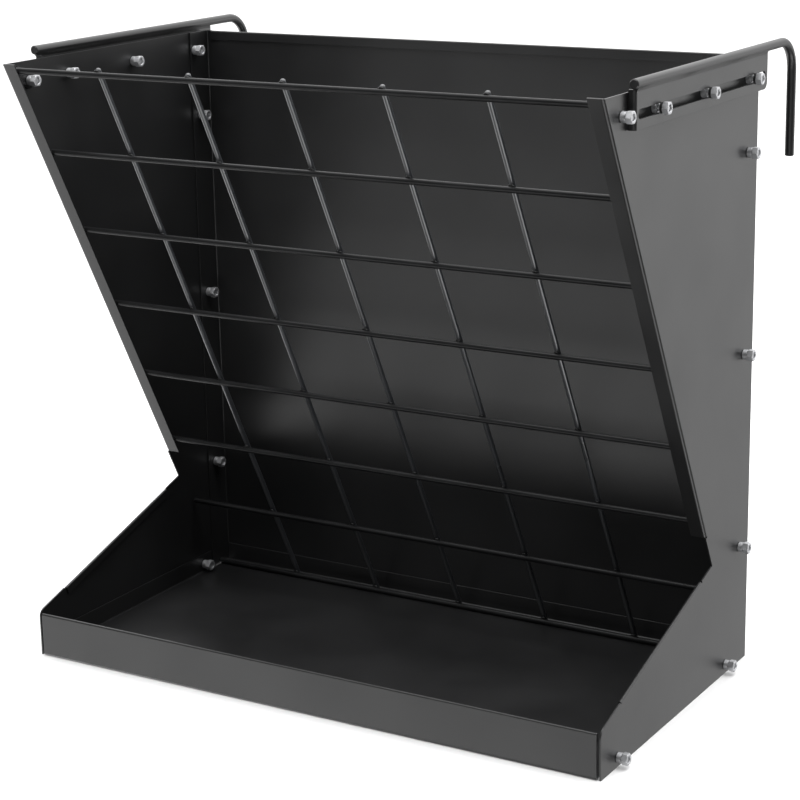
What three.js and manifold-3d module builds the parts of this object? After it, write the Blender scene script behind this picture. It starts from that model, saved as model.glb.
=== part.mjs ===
// Hay feeder box: a hopper and tray of bent sheet steel, a slanted grid of welded wire
// and two hooks that slide along the side panels to fit rails of different thickness.
// Millimetres, +X to the right, +Y to the back, +Z up.

import * as THREE from 'three';
import { mergeVertices } from 'three/addons/utils/BufferGeometryUtils.js';
import Module from 'manifold-3d';

const wasm = await Module();
wasm.setup();

// Overall sizes
const boxWidth = 610; // over the outer faces of the side panels
const boxHeight = 580;
const hopperDepth = 323; // back edge of a side panel to its top front corner
const trayDepth = 321; // back edge of a side panel to its nose, beside the lip
const throatDepth = 86; // back edge to the narrowest place, between hopper and tray
const throatHeight = 119.5;
const noseHeight = 45;
const noseRounding = 7;

// Sheet metal
const sheet = 1.5;
const bendRadius = 3; // outside of each bend
const gap = 0.3; // left between neighbouring pieces
const overrun = 2; // cutters run this far past what they cut
const reliefWidth = 1.5; // slit at the end of a folded flange
const flangeWidth = 15; // folded edge of a side panel along the hopper
const flangeStop = 36; // bare edge from the flange to the throat
const sideHem = 8; // depth of the folded-over edge of a side panel along the tray
const sideHemStart = 26; // bare edge from the throat to the hem
const sideHemStop = 42; // bare edge from the hem to the nose

// Tray
const lipHeight = 43.5;
const lipProud = 1; // lip stands in front of the side panels
const lipHem = 9; // height of the folded-over edge
const lipEndGap = 2.2; // lip end to side panel
const trayFlangeHeight = 20; // turned up at the sides and the back
const trayFlangeSetback = 14; // side flange stops short of the lip
const trayFlangeGap = 3; // side flange to the back panel's flange

// Back panel
const backInset = 3; // back panel lies in front of the side panels' back edges
const backFlange = 34; // folded forward inside the side panels
const backHem = 9;
const backHemSetback = 6; // hem stops short of the side flanges

// Wire grid
const rowWire = 5.5; // diameter of the wires that run across
const columnWire = 5;
const rowCount = 8;
const columnCount = 5;
const columnPitch = 99.5;
const columnOffset = -3.5; // middle wire, from the middle of the box
const firstRow = 9; // measured down the slant from the top corner
const columnOverhang = 3.6; // wires stand up past the middle of the first row
const lugThickness = 2;
const lugEyeRadius = 8;
const lugTipRadius = 4;

// Hooks
const hookRod = 8.5; // diameter
const hookPlate = 2.2; // thickness
const hookPlateHeight = 33;
const hookPlateRounding = 7;
const hookPlateRise = 2.5; // plate stands above the side panel
const hookBendRadius = 28; // to the middle of the rod
const hookReach = 63; // plate's rear edge to the middle of the hook's drop
const hookDrop = 108; // middle of the straight rod to the tip
const hookRodOverhang = 2; // rod stands out past the plate's front edge
const hookRodChamfer = 0.8;
const slotHeight = 8;
const slotEndWall = 4.8; // metal left at each end of the slot
const slotTail = 20.8; // slot runs behind the last stud when the hook is foremost
const leftHookSet = 17; // how far each hook stands behind its foremost place
const rightHookSet = 5;

// Studs of M6 thread: a collar, a neck and a fixed nut inside the box, and a loose nut outside
const studCore = 5.2; // stud without its thread crests
const boreClearance = 0.3; // between a stud and what it passes through, on the radius
const panelHole = 6.6;
const collarWidth = 9.4;
const collarLength = 4.5;
const neckWidth = 8;
const neckLength = 0.4;
const nutWidth = 10; // across flats
const nutHeight = 5.6;
const nutRecess = 1.3; // end of the stud below the face of the nut
const spacerWidth = 9.6; // between a hook plate and its nut
const spacerLength = 2.2;

// Places of the studs
const hookStudDrop = 18; // below the top edge
const hookStudSetback = 28.5; // from the back edge
const hookStudInset = 93; // foremost one, from the top front corner
const hookStudCount = 3;
const lugStudInset = 33; // from the top front corner
const backStudSetback = 22; // from the back edge
const backStudBase = 118.5; // above the base
const backStudTop = 85.5; // below the top edge
const backStudCount = 3;
const trayStudHeight = 9.3; // above the base
const trayStudSetback = 51; // from the back edge
const trayStudInset = 33; // from the front edge

// Facets
const roundSides = 12;
const arcSteps = 5;
const rodBendSteps = 8;

// Faces and places worked out from the sizes
const halfWidth = boxWidth / 2;
const innerFace = halfWidth - sheet;
const liningFace = innerFace - gap; // outer side of what lies inside a side panel
const lipFace = -trayDepth - lipProud;
const backFace = -backInset;
const trayRear = backFace - sheet - gap;
const hookStudHeight = boxHeight - hookStudDrop;
const lugStudY = lugStudInset - hopperDepth;
const plateInner = halfWidth + gap + collarLength + gap; // inner face of a hook's plate

const alongX = new THREE.Vector3(1, 0, 0);
const alongY = new THREE.Vector3(0, 1, 0);
const alongZ = new THREE.Vector3(0, 0, 1);
const minusX = new THREE.Vector3(-1, 0, 0);
const minusY = new THREE.Vector3(0, -1, 0);

// An edge of a side panel from one point to another, in y and z, with its inward side
function slantedEdge(start, end) {
  const along = end.clone().sub(start).normalize();
  const inward = new THREE.Vector2(-along.y, along.x);
  const length = start.distanceTo(end);
  const at = (s, depth) => start.clone().addScaledVector(along, s).addScaledVector(inward, depth);
  return { along, inward, length, at };
}

const topCorner = new THREE.Vector2(-hopperDepth, boxHeight);
const throat = new THREE.Vector2(-throatDepth, throatHeight);
const noseCorner = new THREE.Vector2(-trayDepth, noseHeight);
const upperEdge = slantedEdge(topCorner, throat);
const lowerEdge = slantedEdge(throat, noseCorner);

// Geometries as solids, for joins and cuts

function welded(geometry) {
  const bare = geometry.clone();
  bare.deleteAttribute('normal');
  bare.deleteAttribute('uv');
  return mergeVertices(bare);
}

function toSolid(geometry) {
  const closed = welded(geometry);
  const vertProperties = Float32Array.from(closed.attributes.position.array);
  const triVerts = Uint32Array.from(closed.index.array);
  return new wasm.Manifold(new wasm.Mesh({ numProp: 3, vertProperties, triVerts }));
}

function toGeometry(solid) {
  const mesh = solid.getMesh();
  const geometry = new THREE.BufferGeometry();
  geometry.setAttribute('position', new THREE.BufferAttribute(mesh.vertProperties, 3));
  geometry.setIndex(new THREE.BufferAttribute(mesh.triVerts, 1));
  geometry.computeVertexNormals();
  return geometry;
}

// Joins some geometries and cuts others away
function carved(bodies, cutters) {
  const whole = bodies.map(toSolid).reduce((sum, body) => sum.add(body));
  return toGeometry(cutters.map(toSolid).reduce((rest, cutter) => rest.subtract(cutter), whole));
}

// The same geometry on the other side of the middle plane, with its faces still outward
function mirrored(geometry) {
  const copy = welded(geometry).scale(-1, 1, 1);
  const corners = Array.from(copy.index.array);
  for (let i = 0; i < corners.length; i += 3) {
    [corners[i + 1], corners[i + 2]] = [corners[i + 2], corners[i + 1]];
  }
  copy.setIndex(corners);
  return copy;
}

// Extrudes a shape drawn along two directions, the way their cross product points
function extruded(shape, length, shapeX, shapeY, origin) {
  const options = { depth: length, bevelEnabled: false, curveSegments: arcSteps };
  const geometry = new THREE.ExtrudeGeometry(shape, options);
  const axis = shapeX.clone().cross(shapeY);
  geometry.applyMatrix4(new THREE.Matrix4().makeBasis(shapeX, shapeY, axis));
  return geometry.translate(origin.x, origin.y, origin.z);
}

// Extrudes a shape drawn in y and z across the box
function across(shape, fromX, toX) {
  return extruded(shape, toX - fromX, alongY, alongZ, new THREE.Vector3(fromX, 0, 0));
}

function block(fromX, toX, fromY, toY, fromZ, toZ) {
  const geometry = new THREE.BoxGeometry(toX - fromX, toY - fromY, toZ - fromZ);
  return geometry.translate((fromX + toX) / 2, (fromY + toY) / 2, (fromZ + toZ) / 2);
}

// A rod across the box, with its middle at a place in y and z
function crossRod(diameter, fromX, toX, place) {
  const length = toX - fromX;
  const geometry = new THREE.CylinderGeometry(diameter / 2, diameter / 2, length, roundSides);
  return geometry.rotateZ(Math.PI / 2).translate(fromX + length / 2, place.y, place.z);
}

// Corners of a regular outline, anticlockwise, with a flat side at the top
function regularPoints(radius, sides) {
  return Array.from({ length: sides }, (_, i) => {
    const angle = (2 * Math.PI * (i + 0.5)) / sides;
    return new THREE.Vector2(-radius * Math.sin(angle), radius * Math.cos(angle));
  });
}

// A solid disc across the box, round or with flats, by the corners of its outline
function disc(corners, fromX, toX, place) {
  return across(new THREE.Shape(corners), fromX, toX).translate(0, place.y, place.z);
}

// Studs and what is on them, drawn for the right-hand side panel

function studPlaces() {
  const places = [{ y: lugStudY, z: hookStudHeight, clamps: 'lug', carriesHook: false }];
  const hookPitch = (hopperDepth - hookStudInset - hookStudSetback) / (hookStudCount - 1);
  for (let i = 0; i < hookStudCount; i += 1) {
    const y = -hookStudSetback - i * hookPitch;
    const clamps = y > -backFlange ? 'back' : 'nothing';
    places.push({ y, z: hookStudHeight, clamps, carriesHook: true });
  }
  const backPitch = (boxHeight - backStudBase - backStudTop) / (backStudCount - 1);
  for (let i = 0; i < backStudCount; i += 1) {
    const z = backStudBase + i * backPitch;
    places.push({ y: -backStudSetback, z, clamps: 'back', carriesHook: false });
  }
  for (const y of [-trayStudSetback, trayStudInset - trayDepth]) {
    places.push({ y, z: trayStudHeight, clamps: 'tray', carriesHook: false });
  }
  return places;
}

const studs = studPlaces();
const clamping = (kind) => studs.filter(({ clamps }) => clamps === kind);

function holesFor(places, fromX, toX) {
  return places.map((place) => crossRod(panelHole, fromX - overrun, toX + overrun, place));
}

const collarCorners = regularPoints(collarWidth / 2, roundSides);
const neckCorners = regularPoints(neckWidth / 2, roundSides);
const spacerCorners = regularPoints(spacerWidth / 2, roundSides);
const nutCorners = regularPoints(nutWidth / Math.sqrt(3), 6);

const collar = { corners: collarCorners, length: collarLength };
const neck = { corners: neckCorners, length: neckLength };
const nut = { corners: nutCorners, length: nutHeight };
const spacer = { corners: spacerCorners, length: spacerLength };

// Discs laid one on another from a face, outward or inward
function stacked(discs, face, direction, place) {
  let reached = face;
  return discs.map(({ corners, length }) => {
    const near = reached;
    reached += direction * length;
    return disc(corners, Math.min(near, reached), Math.max(near, reached), place);
  });
}

const totalLength = (discs) => discs.reduce((sum, { length }) => sum + length, 0);

// What a stud clamps to the inside of the side panel
const clampedThickness = {
  lug: lugThickness + gap,
  back: sheet + gap,
  tray: sheet + gap,
  nothing: 0,
};

const innerDiscs = [collar, neck, nut];

// Face that a loose nut stands on, and its discs
function looseNut(place) {
  if (place.carriesHook) {
    return { face: plateInner + hookPlate + gap, discs: [spacer, nut] };
  }
  return { face: halfWidth + gap, discs: [collar, neck, nut] };
}

// Stud with its fixed nut inside, and on a hook's stud the collar that keeps the plate off
function boltGeometry(place) {
  const innerStart = innerFace - clampedThickness[place.clamps] - gap;
  const innerEnd = innerStart - totalLength(innerDiscs);
  const { face, discs } = looseNut(place);
  const outerEnd = face + totalLength(discs);
  const bodies = stacked(innerDiscs, innerStart, -1, place);
  if (place.carriesHook) {
    bodies.push(...stacked([collar], halfWidth + gap, 1, place));
  }
  bodies.push(crossRod(studCore, innerEnd + nutRecess, outerEnd - nutRecess, place));
  const recess = crossRod(studCore, innerEnd - overrun, innerEnd + nutRecess, place);
  return carved(bodies, [recess]);
}

function nutGeometry(place) {
  const { face, discs } = looseNut(place);
  const bore = studCore + 2 * boreClearance;
  const end = face + totalLength(discs);
  return carved(stacked(discs, face, 1, place), [
    crossRod(bore, face - overrun, end + overrun, place),
  ]);
}

// Side panel, drawn for the right-hand side

function panelOutline() {
  const topSetback = (bendRadius * upperEdge.inward.y) / -upperEdge.along.y;
  const flangeEnd = upperEdge.length - flangeStop + reliefWidth;
  const shape = new THREE.Shape([
    new THREE.Vector2(0, 0),
    new THREE.Vector2(0, boxHeight),
    upperEdge.at(topSetback, bendRadius),
    upperEdge.at(flangeEnd, bendRadius),
    upperEdge.at(flangeEnd, 0),
    throat,
    lowerEdge.at(lowerEdge.length - noseRounding, 0),
  ]);
  shape.quadraticCurveTo(noseCorner.x, noseCorner.y, noseCorner.x, noseCorner.y - noseRounding);
  shape.lineTo(-trayDepth, 0);
  return shape;
}

// Extrudes a section, drawn across and inward from an edge, between two distances down the edge
function alongEdge(section, edge, from, to) {
  const end = edge.at(to, 0);
  const inward = new THREE.Vector3(0, edge.inward.x, edge.inward.y);
  return extruded(section, to - from, alongX, inward, new THREE.Vector3(0, end.x, end.y));
}

// Section of a flange folded inward
function flangeSection() {
  const turn = halfWidth - bendRadius;
  const shape = new THREE.Shape();
  shape.moveTo(halfWidth, bendRadius + sheet);
  shape.lineTo(halfWidth, bendRadius);
  shape.absarc(turn, bendRadius, bendRadius, 0, -Math.PI / 2, true);
  shape.lineTo(halfWidth - flangeWidth, 0);
  shape.lineTo(halfWidth - flangeWidth, sheet);
  shape.lineTo(turn, sheet);
  shape.absarc(turn, bendRadius, bendRadius - sheet, -Math.PI / 2, 0, false);
  shape.lineTo(innerFace, bendRadius + sheet);
  return shape;
}

// Section of an edge folded over against the inner face
function hemSection() {
  const shape = new THREE.Shape();
  shape.moveTo(innerFace + sheet / 2, sideHem);
  shape.lineTo(innerFace + sheet / 2, 0);
  shape.lineTo(innerFace, 0);
  shape.absarc(innerFace, sheet, sheet, -Math.PI / 2, -Math.PI, true);
  shape.lineTo(innerFace - sheet, sideHem);
  return shape;
}

function sidePanel() {
  const bodies = [
    across(panelOutline(), innerFace, halfWidth),
    alongEdge(flangeSection(), upperEdge, 0, upperEdge.length - flangeStop),
    alongEdge(hemSection(), lowerEdge, sideHemStart, lowerEdge.length - sideHemStop),
  ];
  const reach = flangeWidth + overrun;
  const aboveTop = block(halfWidth - reach, halfWidth + overrun, -hopperDepth - reach, 0,
    boxHeight, boxHeight + reach);
  return carved(bodies, [aboveTop, ...holesFor(studs, innerFace, halfWidth)]);
}

// An L section with a rounded bend: its corner at zero and a leg along each direction
function angleShape(legX, legY) {
  const shape = new THREE.Shape();
  shape.moveTo(bendRadius, 0);
  shape.lineTo(legX, 0);
  shape.lineTo(legX, sheet);
  shape.lineTo(bendRadius, sheet);
  shape.absarc(bendRadius, bendRadius, bendRadius - sheet, 1.5 * Math.PI, Math.PI, true);
  shape.lineTo(sheet, legY);
  shape.lineTo(0, legY);
  shape.lineTo(0, bendRadius);
  shape.absarc(bendRadius, bendRadius, bendRadius, Math.PI, 1.5 * Math.PI, false);
  return shape;
}

// Back panel: a sheet with its sides folded forward and its top edge folded over

function backHemShape() {
  const foldY = backFace - sheet;
  const shape = new THREE.Shape();
  shape.moveTo(backFace - sheet / 2, boxHeight - backHem);
  shape.lineTo(backFace - sheet / 2, boxHeight);
  shape.lineTo(foldY, boxHeight);
  shape.absarc(foldY, boxHeight - sheet, sheet, Math.PI / 2, Math.PI, false);
  shape.lineTo(foldY - sheet, boxHeight - backHem);
  return shape;
}

function backPanel() {
  const webSide = liningFace - bendRadius;
  const hemSide = liningFace - sheet - backHemSetback;
  const web = block(-webSide, webSide, backFace - sheet, backFace, gap, boxHeight);
  const fold = extruded(angleShape(bendRadius + sheet, backFlange - backInset),
    boxHeight - gap, minusX, minusY, new THREE.Vector3(liningFace, backFace, gap));
  const hem = across(backHemShape(), -hemSide, hemSide);
  const holes = holesFor(clamping('back'), liningFace - sheet, liningFace);
  return carved([web, fold, mirrored(fold), hem], [...holes, ...holes.map(mirrored)]);
}

// Tray: one sheet bent into the lip, the floor and three upturned flanges

function lipShape() {
  const foldY = lipFace + bendRadius;
  const innerY = lipFace + sheet;
  const shape = new THREE.Shape();
  shape.moveTo(foldY, 0);
  shape.lineTo(foldY + sheet, 0);
  shape.lineTo(foldY + sheet, sheet);
  shape.lineTo(foldY, sheet);
  shape.absarc(foldY, bendRadius, bendRadius - sheet, 1.5 * Math.PI, Math.PI, true);
  shape.lineTo(innerY, lipHeight - lipHem);
  shape.lineTo(innerY + sheet, lipHeight - lipHem);
  shape.lineTo(innerY + sheet, lipHeight - sheet);
  shape.absarc(innerY, lipHeight - sheet, sheet, 0, Math.PI, false);
  shape.lineTo(lipFace, bendRadius);
  shape.absarc(foldY, bendRadius, bendRadius, Math.PI, 1.5 * Math.PI, false);
  return shape;
}

function trayPan() {
  const floorSide = liningFace - bendRadius;
  const lipSide = innerFace - lipEndGap;
  const foldShape = angleShape(bendRadius + sheet, trayFlangeHeight);
  const foldFront = lipFace + trayFlangeSetback;
  const foldRear = -backFlange - trayFlangeGap;
  const lip = across(lipShape(), -lipSide, lipSide);
  const floor = block(-floorSide, floorSide, lipFace + bendRadius, trayRear - bendRadius, 0, sheet);
  const rearFold = extruded(foldShape, 2 * floorSide, minusY, alongZ,
    new THREE.Vector3(floorSide, trayRear, 0));
  const sideFold = extruded(foldShape, foldRear - foldFront, minusX, alongZ,
    new THREE.Vector3(liningFace, foldFront, 0));
  const holes = holesFor(clamping('tray'), liningFace - sheet, liningFace);
  const bodies = [lip, floor, rearFold, sideFold, mirrored(sideFold)];
  return carved(bodies, [...holes, ...holes.map(mirrored)]);
}

// Wire grid, in a plane turned to the upper slant: x across, y up the slant, z to the front.
// The wires across lie just behind the flanges, and the wires down lie behind those.

const rowDepth = sheet + gap + rowWire / 2;
const columnDepth = rowDepth + rowWire / 2 + gap + columnWire / 2;
const rowEnd = liningFace - lugThickness - gap;

// Distance down the slant at which a line behind it comes to the tray's floor or to its rear
// flange, whichever it meets first, with half its width left over that floor and that flange
function slantDistance(depth, overFloor, beforeRear) {
  const height = sheet + gap + overFloor;
  const rear = trayRear - sheet - gap - beforeRear;
  const toFloor = (height - boxHeight - upperEdge.inward.y * depth) / upperEdge.along.y;
  const toRear = (rear + hopperDepth - upperEdge.inward.x * depth) / upperEdge.along.x;
  return Math.min(toFloor, toRear);
}

// The last row rests on the tray
const lastRow = slantDistance(rowDepth, rowWire / 2, rowWire / 2);
const rowPitch = (lastRow - firstRow) / (rowCount - 1);

function rowWireGeometry() {
  return crossRod(rowWire, -rowEnd, rowEnd, { y: 0, z: 0 });
}

const columnTop = firstRow - columnOverhang;
const columnFoot = slantDistance(columnDepth, (columnWire / 2) * upperEdge.inward.y,
  (columnWire / 2) * upperEdge.inward.x);

function columnWireGeometry() {
  const length = columnFoot - columnTop;
  return new THREE.CylinderGeometry(columnWire / 2, columnWire / 2, length, roundSides);
}

// Outline of a large and a small circle and the straight edges that touch both
function linkShape(large, largeRadius, small, smallRadius) {
  const line = small.clone().sub(large);
  const heading = Math.atan2(line.y, line.x);
  const spread = Math.acos((largeRadius - smallRadius) / line.length());
  const shape = new THREE.Shape();
  shape.absarc(large.x, large.y, largeRadius, heading + spread, heading - spread, false);
  shape.absarc(small.x, small.y, smallRadius, heading - spread, heading + spread, false);
  return shape;
}

// Lug at the end of the first row, with an eye for its own stud
function lugGeometry() {
  const eye = new THREE.Vector2(lugStudY, hookStudHeight);
  const tip = upperEdge.at(firstRow, bendRadius + gap + lugTipRadius);
  const half = lugThickness / 2;
  const link = across(linkShape(eye, lugEyeRadius, tip, lugTipRadius), -half, half);
  return carved([link], holesFor(clamping('lug'), -half, half));
}

// Hooks: y from the plate's front edge, z from the base of the box, x from the plate's middle

const plateTop = boxHeight + hookPlateRise;
const plateMiddle = plateInner + hookPlate / 2;
const plateForemost = lugStudY + nutWidth / Math.sqrt(3) + gap;
const slotRear = slotTail - hookStudSetback - plateForemost;
const plateLength = slotRear + slotEndWall;

// The plate's front end, folded inward as far as the side panel
function hookFold(foot) {
  const inner = halfWidth + gap - plateMiddle;
  const face = hookPlate / 2;
  const turn = face - bendRadius;
  const shape = new THREE.Shape();
  shape.moveTo(inner, 0);
  shape.lineTo(turn, 0);
  shape.absarc(turn, bendRadius, bendRadius, -Math.PI / 2, 0, false);
  shape.lineTo(face, bendRadius + sheet);
  shape.lineTo(-face, bendRadius + sheet);
  shape.absarc(turn, bendRadius, bendRadius - hookPlate, 0, -Math.PI / 2, true);
  shape.lineTo(inner, hookPlate);
  return extruded(shape, hookPlateHeight, alongX, alongY, new THREE.Vector3(0, 0, foot));
}

// The right-hand plate
function hookPlateGeometry() {
  const foot = plateTop - hookPlateHeight;
  const round = hookPlateRounding;
  const shape = new THREE.Shape();
  shape.moveTo(bendRadius, foot);
  shape.lineTo(plateLength - round, foot);
  shape.absarc(plateLength - round, foot + round, round, -Math.PI / 2, 0, false);
  shape.lineTo(plateLength, plateTop);
  shape.lineTo(bendRadius, plateTop);
  const end = slotHeight / 2;
  const slot = new THREE.Path();
  slot.absarc(slotEndWall + end, hookStudHeight, end, Math.PI / 2, 1.5 * Math.PI, false);
  slot.absarc(slotRear - end, hookStudHeight, end, -Math.PI / 2, Math.PI / 2, false);
  shape.holes.push(slot);
  return carved([across(shape, -hookPlate / 2, hookPlate / 2), hookFold(foot)], []);
}

// Stations of the rod from its front end to its tip: place, heading below level and radius
function rodStations() {
  const level = plateTop + gap + hookRod / 2;
  const dropY = plateLength + hookReach;
  const radius = hookRod / 2;
  const endRadius = radius - hookRodChamfer;
  const tip = level - hookDrop;
  const stations = [
    { y: -hookRodOverhang, z: level, turn: 0, radius: endRadius },
    { y: hookRodChamfer - hookRodOverhang, z: level, turn: 0, radius },
  ];
  for (let i = 0; i <= rodBendSteps; i += 1) {
    const turn = (i / rodBendSteps) * (Math.PI / 2);
    const y = dropY - hookBendRadius * (1 - Math.sin(turn));
    const z = level - hookBendRadius * (1 - Math.cos(turn));
    stations.push({ y, z, turn, radius });
  }
  stations.push({ y: dropY, z: tip + hookRodChamfer, turn: Math.PI / 2, radius });
  stations.push({ y: dropY, z: tip, turn: Math.PI / 2, radius: endRadius });
  return stations;
}

// A straight rod of one ring for each station, with its rings moved to the stations
function hookRodGeometry() {
  const stations = rodStations();
  const steps = stations.length - 1;
  const geometry = new THREE.CylinderGeometry(1, 1, 1, roundSides, steps);
  const position = geometry.attributes.position;
  for (let i = 0; i < position.count; i += 1) {
    const { y, z, turn, radius } = stations[Math.round((0.5 - position.getY(i)) * steps)];
    const below = position.getZ(i) * radius;
    position.setXYZ(i, position.getX(i) * radius,
      y - below * Math.sin(turn), z - below * Math.cos(turn));
  }
  geometry.computeVertexNormals();
  return geometry;
}

// Paints and platings

const blackPaint = { color: 0x2b2c2f, roughness: 0.32, metalness: 0.5 };
const blackWire = { color: 0x1d1e20, roughness: 0.38, metalness: 0.4 };
const zincPlate = { color: 0xb9bcc0, roughness: 0.34, metalness: 0.9 };

function piece(name, geometry, finish) {
  const mesh = new THREE.Mesh(geometry, new THREE.MeshStandardMaterial(finish));
  mesh.name = name;
  return mesh;
}

// The grid's plane, with its wires

function hayGrid() {
  const grid = new THREE.Group();
  grid.position.set(0, topCorner.x, topCorner.y);
  grid.rotation.x = Math.atan2(-upperEdge.along.y, -upperEdge.along.x);
  for (let i = 0; i < rowCount; i += 1) {
    const row = piece(`grid_row_${i + 1}`, rowWireGeometry(), blackWire);
    row.position.set(0, -firstRow - i * rowPitch, -rowDepth);
    grid.add(row);
  }
  for (let i = 0; i < columnCount; i += 1) {
    const column = piece(`grid_column_${i + 1}`, columnWireGeometry(), blackWire);
    const x = columnOffset + (i - (columnCount - 1) / 2) * columnPitch;
    column.position.set(x, -(columnTop + columnFoot) / 2, -columnDepth);
    grid.add(column);
  }
  return grid;
}

const sides = [
  { side: 'left', sign: -1, hookSet: leftHookSet },
  { side: 'right', sign: 1, hookSet: rightHookSet },
];

// Geometry drawn for the right-hand side, on its own side
const sided = (geometry, sign) => (sign < 0 ? mirrored(geometry) : geometry);

function hook({ side, sign, hookSet }) {
  const group = new THREE.Group();
  group.position.set(sign * plateMiddle, plateForemost + hookSet, 0);
  group.add(piece(`hook_plate_${side}`, sided(hookPlateGeometry(), sign), blackPaint));
  group.add(piece(`hook_rod_${side}`, hookRodGeometry(), blackPaint));
  return group;
}

// A side panel with its lug, its bolts and their nuts
function panelSide({ side, sign }) {
  const group = new THREE.Group();
  group.add(piece(`side_panel_${side}`, sided(sidePanel(), sign), blackPaint));
  const lug = piece(`grid_lug_${side}`, lugGeometry(), blackWire);
  lug.position.x = sign * (liningFace - lugThickness / 2);
  group.add(lug);
  const counts = { panel: 0, hook: 0 };
  for (const place of studs) {
    const set = place.carriesHook ? 'hook' : 'panel';
    counts[set] += 1;
    const ending = `${side}_${counts[set]}`;
    group.add(piece(`${set}_bolt_${ending}`, sided(boltGeometry(place), sign), zincPlate));
    group.add(piece(`${set}_nut_${ending}`, sided(nutGeometry(place), sign), zincPlate));
  }
  return group;
}

// The whole box stands with its origin under the middle of its footprint
const feeder = new THREE.Group();
feeder.position.y = -lipFace / 2;
feeder.add(piece('back_panel', backPanel(), blackPaint));
feeder.add(piece('tray_pan', trayPan(), blackPaint));
feeder.add(hayGrid());
for (const side of sides) {
  feeder.add(panelSide(side));
  feeder.add(hook(side));
}

export default feeder;
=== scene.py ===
import math

import bmesh
import bpy
import numpy as np
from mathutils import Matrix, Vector


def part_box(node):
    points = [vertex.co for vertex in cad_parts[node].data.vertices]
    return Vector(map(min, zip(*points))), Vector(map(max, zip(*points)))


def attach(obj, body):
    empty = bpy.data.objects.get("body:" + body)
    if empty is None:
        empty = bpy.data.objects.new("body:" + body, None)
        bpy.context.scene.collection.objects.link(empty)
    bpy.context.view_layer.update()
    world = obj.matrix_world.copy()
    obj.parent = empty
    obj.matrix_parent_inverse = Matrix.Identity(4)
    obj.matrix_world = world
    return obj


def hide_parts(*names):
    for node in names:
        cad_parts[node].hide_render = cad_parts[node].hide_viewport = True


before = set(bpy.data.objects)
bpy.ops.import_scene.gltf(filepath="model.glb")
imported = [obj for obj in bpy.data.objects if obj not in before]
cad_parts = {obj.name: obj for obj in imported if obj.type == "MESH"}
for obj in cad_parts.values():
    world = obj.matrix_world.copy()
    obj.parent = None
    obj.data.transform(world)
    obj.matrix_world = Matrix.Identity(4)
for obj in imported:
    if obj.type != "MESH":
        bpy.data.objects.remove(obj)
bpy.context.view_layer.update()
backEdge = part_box("side_panel_right")[1].y  # drawings below measure y from here, in millimetres
print("feeder box: frame loaded")

sides = {"Left": ("left", -1), "Right": ("right", 1)}


# Metres from a drawing's millimetres: point = (x, y, z)/1000 + (0, backEdge, 0)
def placed(points):
    return np.asarray(points, float) * 0.001 + np.array([0.0, backEdge, 0.0])


# Straight legs joined by arcs. At a corner of radius r between unit legs a and b that turn by t,
# the arc is centred on corner + r*(b - a)/sin(t) and runs between the two tangent points. Points
# that fall together are kept once
def roundedPath(corners, steps=8):
    places = np.array([corner[:2] for corner in corners], float)
    parts = []
    for i, corner in enumerate(corners):
        radius = corner[2] if len(corner) > 2 else 0
        if radius == 0:
            parts.append(places[i:i + 1])
            continue
        legIn = places[i] - places[i - 1]
        legOut = places[(i + 1) % len(places)] - places[i]
        legIn, legOut = legIn / np.linalg.norm(legIn), legOut / np.linalg.norm(legOut)
        turn = math.acos(float(np.clip(legIn @ legOut, -1, 1)))
        reach = radius * math.tan(turn / 2)
        centre = places[i] + (legOut - legIn) * radius / math.sin(turn)
        start, end = places[i] - reach * legIn - centre, places[i] + reach * legOut - centre
        w = np.linspace(0, 1, steps + 1)[:, None]
        parts.append(centre + (np.sin((1 - w) * turn) * start + np.sin(w * turn) * end) / math.sin(turn))
    path = np.vstack(parts)
    return path[np.r_[True, np.linalg.norm(np.diff(path, axis=0), axis=1) > 1e-5]]


# Arc points: centre + r*(cos a, sin a), a from one angle to another
def arcPoints(centre, radius, fromAngle, toAngle, steps):
    angle = np.linspace(fromAngle, toAngle, steps + 1)
    return np.asarray(centre) + radius * np.stack([np.cos(angle), np.sin(angle)], axis=1)


# Quads of a grid of points P[i, j]; a closed grid joins its last column, or row, to its first
def gridPatch(points, outward=None, closedColumns=False, closedRows=False):
    rows, columns = points.shape[:2]
    i = np.arange(rows if closedRows else rows - 1)[:, None]
    j = np.arange(columns if closedColumns else columns - 1)[None, :]
    nextRow, nextColumn = (i + 1) % rows, (j + 1) % columns
    quads = np.stack([i * columns + j, i * columns + nextColumn,
                      nextRow * columns + nextColumn, nextRow * columns + j], axis=-1).reshape(-1, 4)
    flat = points.reshape(-1, 3)
    if outward is not None:
        a, b, c, d = (flat[quads[:, k]] for k in range(4))
        if np.cross(c - a, d - b).sum(axis=0) @ np.asarray(outward, float) < 0:
            quads = quads[:, ::-1]
    return flat, quads


# One flat face inside a closed outline, turned so that its normal agrees with outward
def outlinePatch(points, outward):
    points = np.asarray(points, float)
    normal = np.cross(points, np.roll(points, -1, axis=0)).sum(axis=0)
    order = np.arange(len(points))
    return points, (order if normal @ np.asarray(outward, float) > 0 else order[::-1])[None, :]


# A tube: P(i, j) = c_i + r_i*(cos(a_j)*n_i + sin(a_j)*m), where m is square to the plane that the
# path lies in and n_i = m x tangent. Flat caps close its ends
def tubePatches(path, radii, sidesCount, square):
    tangent = np.gradient(path, axis=0)
    tangent /= np.linalg.norm(tangent, axis=1)[:, None]
    square = np.asarray(square, float)
    across = np.cross(square, tangent)
    angle = np.linspace(0, 2 * np.pi, sidesCount, endpoint=False)
    rings = (path[:, None] + np.asarray(radii)[:, None, None]
             * (np.cos(angle)[None, :, None] * across[:, None]
                + np.sin(angle)[None, :, None] * square))
    return [gridPatch(rings, closedColumns=True),
            outlinePatch(rings[0], -tangent[0]), outlinePatch(rings[-1], tangent[-1])]


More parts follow.
